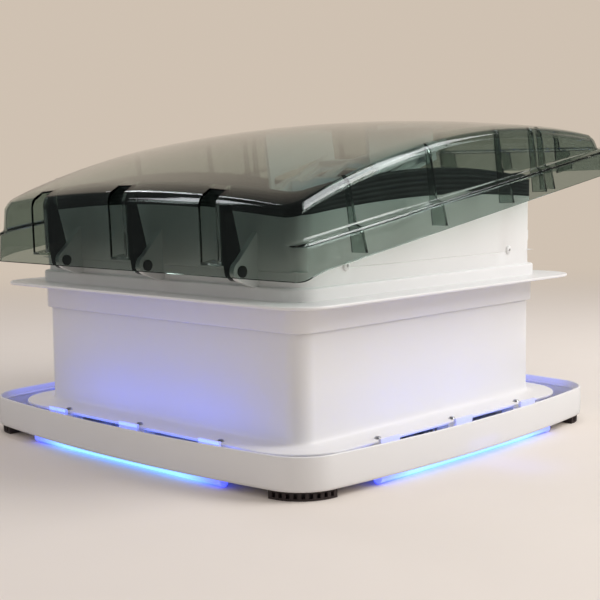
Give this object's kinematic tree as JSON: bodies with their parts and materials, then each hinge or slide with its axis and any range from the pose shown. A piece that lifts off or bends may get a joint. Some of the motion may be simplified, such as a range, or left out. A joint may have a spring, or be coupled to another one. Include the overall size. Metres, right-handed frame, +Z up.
{
  "type": "caravan roof vent",
  "caption": "Square roof vent for a caravan: smoked domed lid hinged on a roof frame and raised by a crank, with a fan, an insect screen and a lit trim ring.",
  "frame": {"origin": "centre of the roof screws, in the plane of the roof skin under the flange", "axes": "+Z up out of the roof, +Y from the lid's hinge towards its opening side, +X to the right seen from the hinge"},
  "size_m": [0.5208, 0.5821, 0.3439],
  "materials": {
    "white_plastic": "satin white moulding",
    "smoked_acrylic": "polished smoked acrylic",
    "black_rubber": "matt",
    "pin_steel": "blackened",
    "steel": "zinc plated",
    "strip_board": "coated board",
    "lit_diffuser": "frosted",
    "dark_plastic": "matt",
    "grey_mesh": "woven mesh",
    "green_board": "solder mask",
    "motor_case": "satin",
    "cream_nylon": "moulded nylon",
    "button_plastic": "soft touch"
  },
  "bodies": {
    "frame": {"roof_frame": "white_plastic", "frame_seal": "black_rubber", "hinge_pins": "pin_steel", "pin_clips": "steel", "side_screws": "white_plastic", "lid_catches": "white_plastic", "throat_duct": "white_plastic", "trim_ring": "white_plastic", "ring_clips": "white_plastic", "trim_screws": "steel", "led_strips": "strip_board", "led_diffusers": "lit_diffuser", "corner_grilles": "dark_plastic", "fascia_panel": "white_plastic", "screen_frame": "white_plastic", "insect_screen": "grey_mesh", "control_board": "green_board", "fan_shroud": "white_plastic", "motor_bracket": "white_plastic", "fan_motor": "motor_case", "bracket_screws": "steel", "left_bearing": "white_plastic", "right_bearing": "white_plastic", "spindle_bracket": "white_plastic"},
    "lid": {"lid_dome": "smoked_acrylic", "lid_lugs": "smoked_acrylic", "lift_rails": "white_plastic"},
    "lift": {"lift_shaft": "steel", "worm_wheel": "cream_nylon", "lift_bail": "white_plastic"},
    "crank": {"worm_spindle": "steel", "crank_knob": "white_plastic"},
    "fan": {"fan_rotor": "white_plastic", "motor_shaft": "steel", "rotor_nut": "steel"},
    "fan_key": {"fan_button": "button_plastic"},
    "light_key": {"light_button": "button_plastic"},
    "dim_key": {"dim_button": "button_plastic"}
  },
  "joints": [
    {"name": "lid_hinge", "type": "hinge", "parent": "frame", "child": "lid", "pos_m": [0, -0.216, 0.0303], "axis": [1, 0, 0], "range_deg": [-8, 30.8]},
    {"name": "lift_turn", "type": "hinge", "parent": "frame", "child": "lift", "pos_m": [0, -0.02742, 0.05346], "axis": [1, 0, 0], "range_deg": [-16, 61.6]},
    {"name": "crank_turn", "type": "hinge", "parent": "frame", "child": "crank", "pos_m": [-0.162, -0.05242, -0.15], "axis": [0, 0, 1], "range_deg": [-384, 1478.4]},
    {"name": "fan_spin", "type": "hinge", "parent": "frame", "child": "fan", "pos_m": [0, 0, -0.07], "axis": [0, 0, 1], "continuous": true},
    {"name": "fan_key_press", "type": "slide", "parent": "frame", "child": "fan_key", "axis": [0, 0, 1], "range_m": [0, 0.0012], "stiffness_N_per_m": 800},
    {"name": "light_key_press", "type": "slide", "parent": "frame", "child": "light_key", "axis": [0, 0, 1], "range_m": [0, 0.0012], "stiffness_N_per_m": 800},
    {"name": "dim_key_press", "type": "slide", "parent": "frame", "child": "dim_key", "axis": [0, 0, 1], "range_m": [0, 0.0012], "stiffness_N_per_m": 800}
  ],
  "couplings": [
    {"joint": "lift_turn", "follows": "lid_hinge", "ratio": 2},
    {"joint": "crank_turn", "follows": "lid_hinge", "ratio": 48}
  ]
}
